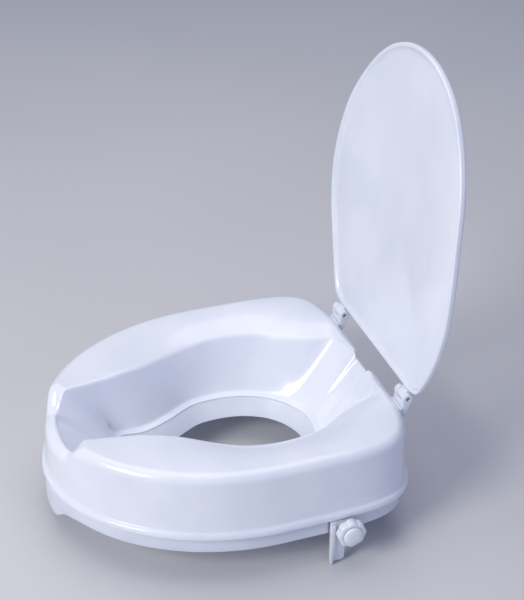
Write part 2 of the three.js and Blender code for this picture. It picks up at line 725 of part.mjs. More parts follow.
const lidGroup = new THREE.Group();
lidGroup.position.set(0, axisY, axisZ);
lidGroup.rotation.x = -THREE.MathUtils.degToRad(lidOpenAngle);
group.add(lidGroup);
place(lidGroup, 'lid', lid(), whiteGloss);
for (const [side, sign] of sides) {
  place(lidGroup, `lid_arm_${side}`, lidArm(sign * hingeX), whiteGloss);
  leafScrewY.forEach((y, i) =>
    place(lidGroup, `lid_screw_${side}_${i + 1}`, leafScrew(sign * hingeX, y), zincSteel));
}

const clampPieces = [
  ['clamp_bracket', clampBracket, whiteGloss],
  ['clamp_pad', clampPad, greyRubber],
  ['clamp_stud', clampStud, zincSteel],
  ['clamp_washer', clampWasher, zincSteel],
  ['clamp_knob', clampKnob, whiteGloss],
  ['knob_insert', knobInsert, brassInsert],
  ['knob_cap', knobCap, whiteGloss],
];
for (const [side, sign] of sides) {
  for (const [name, make, material] of clampPieces) {
    place(group, `${name}_${side}`, sign > 0 ? make() : mirrored(make()), material);
  }
}

export default group;
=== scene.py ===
import math
from bisect import bisect_right

import bmesh
import bpy
from mathutils import Matrix, Vector


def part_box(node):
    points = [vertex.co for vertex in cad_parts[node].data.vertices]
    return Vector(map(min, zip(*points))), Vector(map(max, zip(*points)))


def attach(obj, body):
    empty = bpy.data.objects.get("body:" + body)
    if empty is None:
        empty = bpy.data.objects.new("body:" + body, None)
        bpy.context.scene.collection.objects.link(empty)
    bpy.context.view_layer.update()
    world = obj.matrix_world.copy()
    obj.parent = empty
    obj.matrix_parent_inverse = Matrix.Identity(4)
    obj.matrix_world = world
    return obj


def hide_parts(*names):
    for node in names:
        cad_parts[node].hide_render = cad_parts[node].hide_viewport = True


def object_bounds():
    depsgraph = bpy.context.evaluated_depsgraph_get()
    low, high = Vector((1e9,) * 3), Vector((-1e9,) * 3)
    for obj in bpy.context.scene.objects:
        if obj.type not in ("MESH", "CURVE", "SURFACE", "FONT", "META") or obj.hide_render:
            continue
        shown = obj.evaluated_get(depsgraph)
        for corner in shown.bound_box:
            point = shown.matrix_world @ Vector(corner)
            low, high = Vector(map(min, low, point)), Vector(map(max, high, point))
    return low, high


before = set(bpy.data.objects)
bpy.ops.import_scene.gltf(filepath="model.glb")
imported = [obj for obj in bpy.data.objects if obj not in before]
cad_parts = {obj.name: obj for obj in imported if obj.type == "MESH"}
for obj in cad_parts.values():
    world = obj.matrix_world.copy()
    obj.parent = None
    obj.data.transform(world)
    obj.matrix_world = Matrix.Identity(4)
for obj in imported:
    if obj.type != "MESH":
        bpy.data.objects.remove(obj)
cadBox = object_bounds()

print("frame loaded")

# Raised toilet seat on its bowl rim plane, front towards -Y. Metres; the settings are in millimetres.
mm = 0.001
pinLow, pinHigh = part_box("hinge_pin_left")
axisY, axisZ = (pinLow[1] + pinHigh[1]) / 2, (pinLow[2] + pinHigh[2]) / 2


def clearSelection():
    if bpy.context.object and bpy.context.object.mode != "OBJECT":
        bpy.ops.object.mode_set(mode="OBJECT")
    bpy.ops.object.select_all(action="DESELECT")


def activate(piece):
    clearSelection()
    piece.select_set(True)
    bpy.context.view_layer.objects.active = piece


def applyAll(piece):
    activate(piece)
    for modifier in list(piece.modifiers):
        bpy.ops.object.modifier_apply(modifier=modifier.name)


def settle(piece, angle=35):
    # place goes into the mesh, normals outwards, smooth apart from real edges
    activate(piece)
    bpy.ops.object.transform_apply(location=True, rotation=True, scale=True)
    bpy.ops.object.mode_set(mode="EDIT")
    bpy.ops.mesh.select_all(action="SELECT")
    bpy.ops.mesh.remove_doubles(threshold=0.00001)
    bpy.ops.mesh.normals_make_consistent(inside=False)
    bpy.ops.object.mode_set(mode="OBJECT")
    bpy.ops.object.shade_smooth_by_angle(angle=math.radians(angle))


def bevelEdges(piece, width, segments=3, angle=30):
    modifier = piece.modifiers.new("edge rounding", "BEVEL")
    modifier.width = width * mm
    modifier.segments = segments
    modifier.limit_method = "ANGLE"
    modifier.angle_limit = math.radians(angle)
    applyAll(piece)


def carve(piece, tools, operation="DIFFERENCE"):
    # cuts or joins each tool in turn, then drops it
    for tool in tools:
        modifier = piece.modifiers.new("carve", "BOOLEAN")
        modifier.operation = operation
        modifier.solver = "EXACT"
        modifier.object = tool
        applyAll(piece)
        bpy.data.objects.remove(tool)


def ownCopy(piece, name, matrix):
    copy = piece.copy()
    copy.data = piece.data.copy()
    copy.name = name
    bpy.context.collection.objects.link(copy)
    copy.data.transform(matrix)
    if matrix.determinant() < 0:
        copy.data.flip_normals()
    return copy


def moved(x=0, y=0, z=0):
    return Matrix.Translation((x, y, z))


def finishPiece(piece, name, body, material, nodes):
    piece.name = name
    piece.data.materials.clear()
    piece.data.materials.append(material)
    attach(piece, body)
    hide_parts(*nodes)


def boxPiece(low, high):
    # a block between two corners, in millimetres
    middle = [(a + b) / 2 * mm for a, b in zip(low, high)]
    clearSelection()
    bpy.ops.mesh.primitive_cube_add(size=1, location=middle)
    piece = bpy.context.object
    piece.scale = [(b - a) * mm for a, b in zip(low, high)]
    bpy.ops.object.transform_apply(location=True, rotation=True, scale=True)
    return piece


def rodPiece(start, length, radius, axis="X", sides=32):
    # a rod along an axis, in millimetres
    turn = {"X": (0, math.pi / 2, 0), "Y": (math.pi / 2, 0, 0), "Z": (0, 0, 0)}[axis]
    middle = Vector(start) + Vector([length / 2 if axis == name else 0 for name in "XYZ"])
    clearSelection()
    bpy.ops.mesh.primitive_cylinder_add(
        vertices=sides, radius=radius * mm, depth=length * mm, location=middle * mm, rotation=turn)
    bpy.ops.object.transform_apply(location=True, rotation=True, scale=True)
    return bpy.context.object


def spunPiece(outline, sides=48):
    # [radius, height] pairs spun about Z; the ends lie on the axis or meet each other
    mesh = bpy.data.meshes.new("outline")
    points = [(radius * mm, 0, height * mm) for radius, height in outline]
    mesh.from_pydata(points, [(i, i + 1) for i in range(len(points) - 1)], [])
    piece = bpy.data.objects.new("spun", mesh)
    bpy.context.collection.objects.link(piece)
    activate(piece)
    bpy.ops.object.mode_set(mode="EDIT")
    bpy.ops.mesh.select_all(action="SELECT")
    bpy.ops.mesh.spin(steps=sides, angle=2 * math.pi, center=(0, 0, 0), axis=(0, 0, 1))
    bpy.ops.mesh.select_all(action="SELECT")
    bpy.ops.mesh.remove_doubles(threshold=0.00001)
    bpy.ops.mesh.normals_make_consistent(inside=False)
    bpy.ops.object.mode_set(mode="OBJECT")
    return piece


def blend(a, b, share):
    return a + (b - a) * share


def ease(value):
    value = min(max(value, 0), 1)
    return value * value * (3 - 2 * value)


def planPath(points, perSpan=12):
    # a smooth closed path: at(share, inset) gives its point at a share of its length
    points = [Vector(point) for point in points]
    count = len(points)
    dense = []
    for i in range(count):
        p0, p1, p2, p3 = (points[(i + k - 1) % count] for k in range(4))
        d0, d1, d2 = (max((b - a).length, 1e-6) ** 0.5 for a, b in ((p0, p1), (p1, p2), (p2, p3)))
        m1 = ((p1 - p0) / d0 - (p2 - p0) / (d0 + d1) + (p2 - p1) / d1) * d1
        m2 = ((p2 - p1) / d1 - (p3 - p1) / (d1 + d2) + (p3 - p2) / d2) * d1
        for k in range(perSpan):
            t = k / perSpan
            square = (3 * (p2 - p1) - 2 * m1 - m2) * t ** 2
            cube = (2 * (p1 - p2) + m1 + m2) * t ** 3
            dense.append(p1 + m1 * t + square + cube)
    total = len(dense)
    lengths = [0]
    for i in range(total):
        lengths.append(lengths[-1] + (dense[(i + 1) % total] - dense[i]).length)

    def at(share, inset=0):
        want = share % 1 * lengths[-1]
        i = min(bisect_right(lengths, want) - 1, total - 1)
        along = (want - lengths[i]) / (lengths[i + 1] - lengths[i])
        point = dense[i].lerp(dense[(i + 1) % total], along)
        before = dense[(i + 1) % total] - dense[i - 1]
        after = dense[(i + 2) % total] - dense[i]
        tangent = before.lerp(after, along).normalized()
        return point + Vector((-tangent.y, tangent.x)) * inset

    at.length = lengths[-1]
    return at


def mirroredPath(half):
    return planPath(half + [(-x, y) for x, y in half[-2:0:-1]])


def crowdedShare(t, crowding=0.4):
    # stations stand closer at the front and rear
    return t - crowding / (4 * math.pi) * math.sin(4 * math.pi * t)


def rounded(corners):
    # corners: (point, cut back, steps); each becomes a smooth curve between its two sides
    count = len(corners)
    path = []
    for i, (point, cut, steps) in enumerate(corners):
        if not cut:
            path.append(point)
            continue
        before, after = corners[i - 1][0] - point, corners[(i + 1) % count][0] - point
        start = point + before.normalized() * min(cut, before.length * 0.48)
        end = point + after.normalized() * min(cut, after.length * 0.48)
        for k in range(steps + 1):
            t = k / steps
            path.append(start * (1 - t) ** 2 + point * 2 * t * (1 - t) + end * t ** 2)
    return path


def loopStack(name, columns, closed=True):
    # a circle of edges, one corner for each column, extruded loop by loop along the columns;
    # the last loop meets the first, or both ends are filled
    clearSelection()
    bpy.ops.mesh.primitive_circle_add(vertices=len(columns), radius=0.1)
    piece = bpy.context.object
    piece.name = name
    bpy.ops.object.mode_set(mode="EDIT")
    mesh = bmesh.from_edit_mesh(piece.data)
    station = mesh.verts.layers.int.new("station")
    mesh.verts.ensure_lookup_table()
    for i, vertex in enumerate(mesh.verts):
        vertex[station] = i
        vertex.co = columns[i][0] * mm
    count = len(columns[0])
    for row in range(1, count + 1 if closed else count):
        bmesh.update_edit_mesh(piece.data)
        bpy.ops.mesh.extrude_edges_move()
        mesh = bmesh.from_edit_mesh(piece.data)
        station = mesh.verts.layers.int["station"]
        for vertex in mesh.verts:
            if vertex.select:
                vertex.co = columns[vertex[station]][row % count] * mm
    bmesh.update_edit_mesh(piece.data)
    bpy.ops.mesh.select_all(action="SELECT")
    bpy.ops.mesh.remove_doubles(threshold=0.000002)
    if not closed:
        bpy.ops.mesh.select_all(action="SELECT")
        bpy.ops.mesh.fill_holes(sides=0)
    bpy.ops.mesh.select_all(action="SELECT")
    bpy.ops.mesh.normals_make_consistent(inside=False)
    bpy.ops.object.mode_set(mode="OBJECT")
    return piece


def ringAroundPlan(name, section, stations):
    return loopStack(name, [section(crowdedShare(i / stations)) for i in range(stations)])


def fromHex(code):
    channels = [int(code[i:i + 2], 16) / 255 for i in (1, 3, 5)]
    return tuple(c / 12.92 if c <= 0.04045 else ((c + 0.055) / 1.055) ** 2.4 for c in channels) + (1,)


def addNode(tree, kind, settings=None, links=None):
    # settings: sockets or properties by name; links: socket name to an output
    node = tree.nodes.new("ShaderNode" + kind)
    for key, value in (settings or {}).items():
        if key in node.inputs:
            node.inputs[key].default_value = value
        else:
            setattr(node, key, value)
    for key, source in (links or {}).items():
        tree.links.new(source, node.inputs[key])
    return node


def newMaterial(name, shaderSettings):
    material = bpy.data.materials.new(name)
    material.use_nodes = True
    tree = material.node_tree
    shader = tree.nodes["Principled BSDF"]
    for key, value in shaderSettings.items():
        shader.inputs[key].default_value = value
    return material, tree, shader


def ramp(tree, source, stops):
    node = addNode(tree, "ValToRGB", {}, {"Fac": source})
    elements = node.color_ramp.elements
    elements[0].position, elements[0].color = stops[0]
    elements[1].position, elements[1].color = stops[-1]
    for position, color in stops[1:-1]:
        elements.new(position).color = color
    return node


def noiseOver(tree, place, size, detail, roughness=0.5):
    # cloudy pattern, its size in millimetres
    settings = {"Scale": 1 / (size * mm), "Detail": detail, "Roughness": roughness}
    return addNode(tree, "TexNoise", settings, {"Vector": place}).outputs["Fac"]


def glossBetween(tree, shader, source, rough, span=(0, 1)):
    # the roughness runs between two values while the source runs over its span
    settings = {"From Min": span[0], "From Max": span[1], "To Min": rough[0], "To Max": rough[1]}
    node = addNode(tree, "MapRange", settings, {"Value": source})
    tree.links.new(node.outputs["Result"], shader.inputs["Roughness"])


def relief(tree, height, strength, depth, links=None):
    settings = {"Strength": strength, "Distance": depth * mm}
    return addNode(tree, "Bump", settings, {"Height": height, **(links or {})}).outputs["Normal"]


def mouldedPlastic(name, settings):
    # one recipe for the white mouldings, from a mirror mould to a spark-eroded one
    material, tree, shader = newMaterial(name, settings["shader"])
    place = addNode(tree, "TexCoord").outputs["Object"]
    # slow drift of the tone, as thick and thin walls scatter differently
    drift = noiseOver(tree, place, settings["driftSize"], 2)
    tone = ramp(tree, drift, [(0.35, fromHex(settings["dark"])), (0.65, fromHex(settings["light"]))])
    tree.links.new(tone.outputs["Color"], shader.inputs["Base Color"])
    # handling haze: patches that are a little less glossy
    haze = noiseOver(tree, place, settings["hazeSize"], 4, 0.6)
    glossBetween(tree, shader, haze, settings["rough"], (0.35, 0.7))
    # the mould's own surface, and the slight waviness that a cooling wall leaves
    grain = noiseOver(tree, place, settings["grainSize"], 3)
    fine = relief(tree, grain, settings["grainStrength"], settings["grainDepth"])
    wave = noiseOver(tree, place, settings["waveSize"], 1)
    uneven = relief(tree, wave, settings["waveStrength"], settings["waveDepth"], {"Normal": fine})
    tree.links.new(uneven, shader.inputs["Normal"])
    return material


# polypropylene from a polished mould: clean cool white, clear reflections, light sinks in a little
glossWhite = mouldedPlastic("polypropylene, polished moulding", {
    "shader": {"IOR": 1.49, "Subsurface Weight": 0.06, "Subsurface Radius": (1, 1, 1),
               "Subsurface Scale": 0.003, "Coat Weight": 0.25, "Coat Roughness": 0.06},
    "dark": "#E6EAF5", "light": "#EEF1FA", "driftSize": 90, "rough": (0.16, 0.26), "hazeSize": 35,
    "grainSize": 1.6, "grainStrength": 0.05, "grainDepth": 0.02,
    "waveSize": 28, "waveStrength": 0.18, "waveDepth": 0.25})

# the same plastic from a spark-eroded mould: slightly greyer, broad soft highlight
satinWhite = mouldedPlastic("polypropylene, satin moulding", {
    "shader": {"IOR": 1.49, "Subsurface Weight": 0.05, "Subsurface Radius": (1, 1, 1),
               "Subsurface Scale": 0.002},
    "dark": "#DADFEB", "light": "#E2E6F1", "driftSize": 70, "rough": (0.4, 0.52), "hazeSize": 30,
    "grainSize": 0.9, "grainStrength": 0.35, "grainDepth": 0.05,
    "waveSize": 22, "waveStrength": 0.1, "waveDepth": 0.2})

# nylon for the parts that carry load: milky white, semi-gloss
nylonWhite = mouldedPlastic("nylon, semi-gloss moulding", {
    "shader": {"IOR": 1.53, "Subsurface Weight": 0.1, "Subsurface Radius": (1, 1, 0.95),
               "Subsurface Scale": 0.002},
    "dark": "#E2E6F0", "light": "#ECEFF7", "driftSize": 25, "rough": (0.26, 0.36), "hazeSize": 12,
    "grainSize": 0.8, "grainStrength": 0.15, "grainDepth": 0.03,
    "waveSize": 9, "waveStrength": 0.12, "waveDepth": 0.1})


def platedSteel():
    # zinc-plated steel: bright grey with a faint blue and straw cast, finely matt from the bath
    material, tree, shader = newMaterial("steel, zinc plated", {"Metallic": 1.0})
    place = addNode(tree, "TexCoord").outputs["Object"]
    cast = noiseOver(tree, place, 4, 3)
    tone = ramp(tree, cast, [
        (0.3, fromHex("#B4BCC9")), (0.5, fromHex("#C6C9CC")), (0.7, fromHex("#CCC8BC"))])
    tree.links.new(tone.outputs["Color"], shader.inputs["Base Color"])
    spangle = noiseOver(tree, place, 1.2, 2)
    glossBetween(tree, shader, spangle, (0.24, 0.42))
    tree.links.new(relief(tree, spangle, 0.12, 0.02), shader.inputs["Normal"])
    return material


def turnedBrass():
    # turned brass: warm yellow metal with fine tool rings round its axis
    material, tree, shader = newMaterial("brass, turned", {"Metallic": 1.0})
    place = addNode(tree, "TexCoord").outputs["Object"]
    tarnish = noiseOver(tree, place, 5, 3)
    tone = ramp(tree, tarnish, [(0.35, fromHex("#B8964F")), (0.7, fromHex("#CDAF68"))])
    tree.links.new(tone.outputs["Color"], shader.inputs["Base Color"])
    rings = addNode(tree, "TexWave", {"Scale": 1 / (1.2 * mm), "Distortion": 0.2, "wave_type": "BANDS",
                                      "bands_direction": "X"}, {"Vector": place})
    glossBetween(tree, shader, rings.outputs["Fac"], (0.22, 0.36))
    tree.links.new(relief(tree, rings.outputs["Fac"], 0.2, 0.02), shader.inputs["Normal"])
    return material


def mouldedRubber():
    # moulded rubber: mid grey, dull, pebbled, with paler bloom on the high spots
    material, tree, shader = newMaterial("rubber, moulded", {"IOR": 1.52, "Specular IOR Level": 0.35})
    place = addNode(tree, "TexCoord").outputs["Object"]
    bloom = noiseOver(tree, place, 8, 5, 0.65)
    tone = ramp(tree, bloom, [(0.35, fromHex("#4C4F55")), (0.68, fromHex("#666A70"))])
    tree.links.new(tone.outputs["Color"], shader.inputs["Base Color"])
    glossBetween(tree, shader, bloom, (0.7, 0.9))
    pebble = addNode(tree, "TexVoronoi", {"Scale": 1 / (0.9 * mm)}, {"Vector": place})
    tree.links.new(relief(tree, pebble.outputs["Distance"], 0.4, 0.08), shader.inputs["Normal"])
    return material


zincSteel = platedSteel()
brass = turnedBrass()
rubber = mouldedRubber()
print("materials made")


# camera, lights and floor
studio = {"cameraAt": (1.3900, -0.4458, 1.1274), "azimuth": 70.165, "elevation": 31.603, "roll": 0.438,
          "lens": 87.79, "sensor": 36, "floorGap": 1.0, "floorSize": 9, "floorAt": (-1, 0.6),
          "floorDark": "#CDCDCF", "floorLight": "#D3D3D5", "skyColor": "#B4C0EA", "skyStrength": 0.46}

camera = bpy.data.objects.new("camera", bpy.data.cameras.new("camera"))
bpy.context.collection.objects.link(camera)
azimuth, elevation, roll = (math.radians(studio[key]) for key in ("azimuth", "elevation", "roll"))
back = Vector((math.sin(azimuth) * math.cos(elevation), -math.cos(azimuth) * math.cos(elevation),
               math.sin(elevation)))
level = Vector((math.cos(azimuth), math.sin(azimuth), 0))
rise = back.cross(level)
right = level * math.cos(roll) + rise * math.sin(roll)
up = rise * math.cos(roll) - level * math.sin(roll)
turn = Matrix((right, up, back)).transposed().to_4x4()
camera.matrix_world = moved(*studio["cameraAt"]) @ turn
camera.data.lens = studio["lens"]
camera.data.sensor_width = studio["sensor"]
bpy.context.scene.camera = camera
bpy.context.scene.view_settings.view_transform = "Standard"

floorZ = cadBox[0][2] - studio["floorGap"] * mm
clearSelection()
bpy.ops.mesh.primitive_plane_add(size=studio["floorSize"], location=(*studio["floorAt"], floorZ))
floor = bpy.context.object
floor.name = "studio_floor"
# backdrop paper: pale, matt, its tone hardly uneven
paperFinish = {"Roughness": 0.9, "Specular IOR Level": 0.2}
paper, paperTree, paperShader = newMaterial("paper, matt backdrop", paperFinish)
paperPlace = addNode(paperTree, "TexCoord").outputs["Object"]
paperTone = addNode(paperTree, "TexNoise", {"Scale": 1.2, "Detail": 2.0}, {"Vector": paperPlace})
paperRamp = ramp(paperTree, paperTone.outputs["Fac"], [
    (0.3, fromHex(studio["floorDark"])), (0.7, fromHex(studio["floorLight"]))])
paperTree.links.new(paperRamp.outputs["Color"], paperShader.inputs["Base Color"])
floor.data.materials.append(paper)

world = bpy.data.worlds.new("studio")
bpy.context.scene.world = world
world.use_nodes = True
world.node_tree.nodes["Background"].inputs["Color"].default_value = fromHex(studio["skyColor"])
world.node_tree.nodes["Background"].inputs["Strength"].default_value = studio["skyStrength"]

lamps = [  # name, place, aimed at, size, watts, colour
    ("key_front", (1.0, -2.1, 1.5), (0, -0.05, 0.1), 1.0, 39, "#FFFDF6"),
    ("overhead", (-0.35, 0.0, 2.3), (0, 0, 0.1), 2.4, 27, "#FFFAEE"),
    ("side_fill", (2.6, 0.4, 0.9), (0, 0, 0.1), 1.5, 4, "#CCD6FA"),
]
for name, place, target, size, watts, color in lamps:
    lamp = bpy.data.lights.new(name, "AREA")
    lamp.size, lamp.energy, lamp.color = size, watts, fromHex(color)[:3]
    lampObject = bpy.data.objects.new(name, lamp)
    bpy.context.collection.objects.link(lampObject)
    lampObject.location = place
    lampObject.rotation_euler = (Vector(place) - Vector(target)).to_track_quat("Z", "Y").to_euler()
print("studio set up")


# seat shell: one thin moulding, a bead round its foot, keyhole aperture inside
seat = {
    "width": 380, "front": 220, "rear": 201, "widestY": 16, "frontPower": 1.95, "rearPower": 5.2,
    "base": 23, "height": 85.4, "wall": 4, "beadHeight": 10.5, "beadDepth": 4.5, "draft": 7,
    "edgeRadius": 12, "rearRadius": 5, "rimFall": 12, "wingFall": 1.5, "dipFall": 6, "rearFall": 3,
    "fallStart": 145, "fallRun": 165, "ledge": 8, "ledgeRise": 3, "apertureHalf": 116, "ledgeHalf": 94,
    "apertureY": 36, "frontChannel": 52, "rearChannel": 66, "frontEdge": 25, "rearEdge": 13,
    "ledgeFront": -128, "ledgeRear": 131, "dip": 24, "dipEdge": 80, "dipRun": 34, "sag": 5, "sagRun": 60,
    "sagMargin": 12, "notch": 9, "notchHalf": 24, "notchRun": 9, "innerRound": 6, "stations": 400,
    "dimple": {"share": 0.078, "rise": 10, "half": 8, "depth": 4}}
seatTop = seat["base"] + seat["height"]


def ovalPoints(count=96):
    points = []
    for i in range(count):
        angle = i / count * 2 * math.pi - math.pi / 2
        c, s = math.cos(angle), math.sin(angle)
        power = seat["frontPower"] if s < 0 else seat["rearPower"]
        reach = seat["front"] + seat["widestY"] if s < 0 else seat["rear"] - seat["widestY"]
        radius = (abs(c / (seat["width"] / 2)) ** power + abs(s / reach) ** power) ** (-1 / power)
        points.append((radius * c, seat["widestY"] + radius * s))
    return points


frontY, rearY = -seat["front"] + seat["frontEdge"], seat["rear"] - seat["rearEdge"]
wideY, rimHalf = seat["apertureY"], seat["apertureHalf"]
frontHalf, rearHalf = seat["frontChannel"], seat["rearChannel"]
seatPath = planPath(ovalPoints())
rimPath = mirroredPath([
    (0, frontY), (frontHalf * 0.65, frontY + 2), (frontHalf * 0.96, frontY + 14),
    (frontHalf * 1.08, blend(frontY, wideY, 0.2)), (frontHalf * 1.2, blend(frontY, wideY, 0.34)),
    (blend(frontHalf, rimHalf, 0.38), blend(frontY, wideY, 0.52)),
    (blend(frontHalf, rimHalf, 0.74), blend(frontY, wideY, 0.72)),
    (rimHalf * 0.955, blend(frontY, wideY, 0.85)), (rimHalf, wideY),
    (rimHalf * 0.94, blend(wideY, rearY, 0.34)), (blend(rimHalf, rearHalf, 0.56), blend(wideY, rearY, 0.57)),
    (rearHalf * 1.12, blend(wideY, rearY, 0.75)), (rearHalf, blend(wideY, rearY, 0.92)),
    (rearHalf * 0.55, rearY - 1), (0, rearY)])
ledgeFrontY, ledgeRearY, ledgeHalf = seat["ledgeFront"], seat["ledgeRear"], seat["ledgeHalf"]
ledgePath = mirroredPath([
    (0, ledgeFrontY), (frontHalf * 0.75, ledgeFrontY + 2), (frontHalf * 1.08, ledgeFrontY + 13),
    (frontHalf * 1.08, blend(ledgeFrontY, wideY, 0.28)),
    (blend(frontHalf, ledgeHalf, 0.38), blend(ledgeFrontY, wideY, 0.46)),
    (ledgeHalf * 0.96, blend(ledgeFrontY, wideY, 0.72)), (ledgeHalf, wideY - 6),
    (ledgeHalf * 0.93, blend(wideY, ledgeRearY, 0.3)), (ledgeHalf * 0.74, blend(wideY, ledgeRearY, 0.64)),
    (ledgeHalf * 0.42, blend(wideY, ledgeRearY, 0.89)), (0, ledgeRearY)])


def fromFront(share):
    return min(share % 1, 1 - share % 1) * seatPath.length


def fromRear(share):
    return abs(share % 1 - 0.5) * seatPath.length


def fadeOut(distance, edge, run):
    return ease((edge - distance) / run)


def dipAt(share):
    return fadeOut(fromFront(share), seat["dipEdge"], seat["dipRun"])


def sagAt(share):
    return fadeOut(fromRear(share), seat["rearChannel"] + seat["sagMargin"], seat["sagRun"])


def crestAt(share):
    notch = fadeOut(fromRear(share), seat["notchHalf"] + 3, seat["notchRun"])
    return seatTop - seat["dip"] * dipAt(share) - seat["sag"] * sagAt(share) - seat["notch"] * notch


def edgeAt(share):
    along = (seatPath(share).y + seat["fallStart"]) / seat["fallRun"]
    fall = blend(seat["wingFall"], seat["rimFall"], ease(along))
    return crestAt(share) - blend(blend(fall, seat["dipFall"], dipAt(share)), seat["rearFall"], sagAt(share))


def edgeRadiusAt(share):
    return blend(seat["edgeRadius"], seat["rearRadius"], sagAt(share))


def at3(flat, z):
    return Vector((flat.x, flat.y, z))


ledgeZ = seat["base"] + seat["ledgeRise"]


def apertureWall(share, z):
    up = (z - ledgeZ) / (edgeAt(share) - ledgeZ)
    return ledgePath(share).lerp(rimPath(share), up)


def skirtInset(z, share):
    low = seat["base"] + seat["beadHeight"]
    high = crestAt(share) - edgeRadiusAt(share)
    return blend(seat["beadDepth"], seat["draft"], min(max((z - low) / (high - low), 0), 1))


def hollowTop(share):
    # as high as the hollow still fits between the skirt and the aperture wall
    z = edgeAt(share) - seat["wall"] - 2
    while z > seat["base"] + seat["beadHeight"]:
        room = (seatPath(share, skirtInset(z, share) + seat["wall"]) - apertureWall(share, z)).length
        if room - seat["wall"] * 1.8 >= seat["wall"]:
            break
        z -= 1
    return z


def dimpleAt(share, z):
    # a shallow sink in each side wall where it turns into the front channel
    dimple = seat["dimple"]
    across = (min(share, 1 - share) - dimple["share"]) * seatPath.length / dimple["half"]
    up = (z - ledgeZ - dimple["rise"]) / dimple["half"]
    return dimple["depth"] * math.exp(-1.6 * (across ** 2 + up ** 2))


def shellSection(share):
    base, wall = seat["base"], seat["wall"]
    crest, edge, radius = crestAt(share), edgeAt(share), edgeRadiusAt(share)
    outer = lambda inset, z: at3(seatPath(share, inset), z)
    corners = [(outer(4.2, base), 0.5, 2), (outer(0, base + 0.3), 3.4, 7), (outer(0.1, base + 7.9), 3.4, 7),
               (outer(seat["beadDepth"], base + seat["beadHeight"]), 1.6, 4)]
    low, high = base + seat["beadHeight"] + 2, crest - radius
    for step in (0.25, 0.5, 0.75):
        z = blend(low, high, step)
        corners.append((outer(skirtInset(z, share), z), 0, 0))
    for step in range(11):
        angle = step / 10 * math.pi / 2
        corners.append((outer(seat["draft"] + radius * (1 - math.cos(angle)),
                              crest - radius * (1 - math.sin(angle))), 0, 0))
    crestPoint = seatPath(share, seat["draft"] + radius)
    for step in range(1, 8):
        along = step / 8
        flat = crestPoint.lerp(rimPath(share), along)
        corners.append((at3(flat, blend(crest, edge, along ** 2.1)), 0, 0))
    corners.append((at3(rimPath(share), edge), seat["innerRound"], 7))
    for step in (0.8, 0.62, 0.46, 0.34, 0.27, 0.21, 0.16, 0.11, 0.07):
        z = blend(ledgeZ, edge, step)
        away = ledgePath(share, -dimpleAt(share, z)) - ledgePath(share)
        corners.append((at3(apertureWall(share, z) + away, z), 0, 0))
    corners.append((at3(ledgePath(share), ledgeZ), 3.5, 5))
    corners.append((at3(ledgePath(share, seat["ledge"]), ledgeZ - 1), 1.6, 4))
    corners.append((at3(ledgePath(share, seat["ledge"]), base), 0.4, 2))
    top = hollowTop(share)
    inner, outerWall = apertureWall(share, top), seatPath(share, skirtInset(top, share) + wall)
    room = (outerWall - inner).length
    inner = inner + (outerWall - inner).normalized() * wall * 1.4
    arch = blend(top, crest - wall, min(max((room - 20) / 40, 0), 1))
    corners += [(at3(ledgePath(share, -wall), base), 0, 0), (at3(inner, top), 1.5, 3),
                (at3(outerWall.lerp(inner, 0.3), max(arch, top)), 3, 3),
                (at3(outerWall, min(top, crest - radius)), 1.5, 3),
                (outer(seat["beadDepth"] + wall, base), 0, 0)]
    return rounded(corners)


post = {"radius": 6, "height": 40, "pilot": 2.1, "roof": 8}
land = {"depth": 9, "drop": 4.4, "below": 1, "margin": 1, "plateGap": 0.3, "rounding": 1.2,
        "holeHeights": (3.5, 15.5), "hole": 2.2, "holeDepth": 12}
clampY = sum(corner[1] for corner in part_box("clamp_stud_left")) / 2 / mm
clampZ = sum(corner[2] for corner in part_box("clamp_stud_left")) / 2 / mm
screwBoxes = [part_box(f"ring_screw_{i}") for i in range(1, 9)]
postPlaces = [((low[0] + high[0]) / 2 / mm, (low[1] + high[1]) / 2 / mm) for low, high in screwBoxes]
plateCorner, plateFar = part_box("hinge_bracket_left")
hingeX = (plateCorner[0] + plateFar[0]) / 2 / mm
landY = plateCorner[1] / mm - land["plateGap"]
plateLow = plateCorner[2] / mm
landHalf = (plateFar[0] - plateCorner[0]) / 2 / mm + land["margin"]

shell = ringAroundPlan("seat_shell_moulding", shellSection, seat["stations"])
lands = []
for side in (1, -1):
    lands.append(boxPiece(
        (side * hingeX - landHalf, landY - land["depth"], plateLow - land["below"]),
        (side * hingeX + landHalf, landY, seatTop - land["drop"])))
    bevelEdges(lands[-1], land["rounding"])
posts = [rodPiece((x, y, seat["base"]), post["height"], post["radius"], "Z") for x, y in postPlaces]
carve(shell, lands + posts, "UNION")
bores = [rodPiece((x, y, seat["base"] - 1), post["height"] - post["roof"], post["pilot"], "Z", 20)
         for x, y in postPlaces]
for side in (1, -1):
    for up in land["holeHeights"]:
        start = (side * hingeX, landY - land["holeDepth"], plateLow + up)
        bores.append(rodPiece(start, land["holeDepth"] + 1, land["hole"], "Y", 20))
carve(shell, bores)
settle(shell, 60)
finishPiece(shell, "seat_shell_moulding", "seat", glossWhite, ["seat_shell"])
print("shell done", len(shell.data.polygons))


# base ring: satin band under the bead, collar round the aperture, plate between them
ring = {"top": 22.7, "inset": 8.5, "wall": 4, "plateLow": 2.3, "plateHigh": 5.3, "collarLean": 12,
        "lip": 16, "lipHalf": 22, "lipFade": 32, "frontInset": 2.5, "frontHalf": 30, "frontFade": 60,
        "stations": 224, "headRadius": 4, "headDepth": 8.3, "shank": 2.1, "screwBoss": 5.3, "pocketMargin": 5,
        "pocketGap": 0.6, "pocketBehind": 4.6, "studHold": 20, "studBore": 3.3}


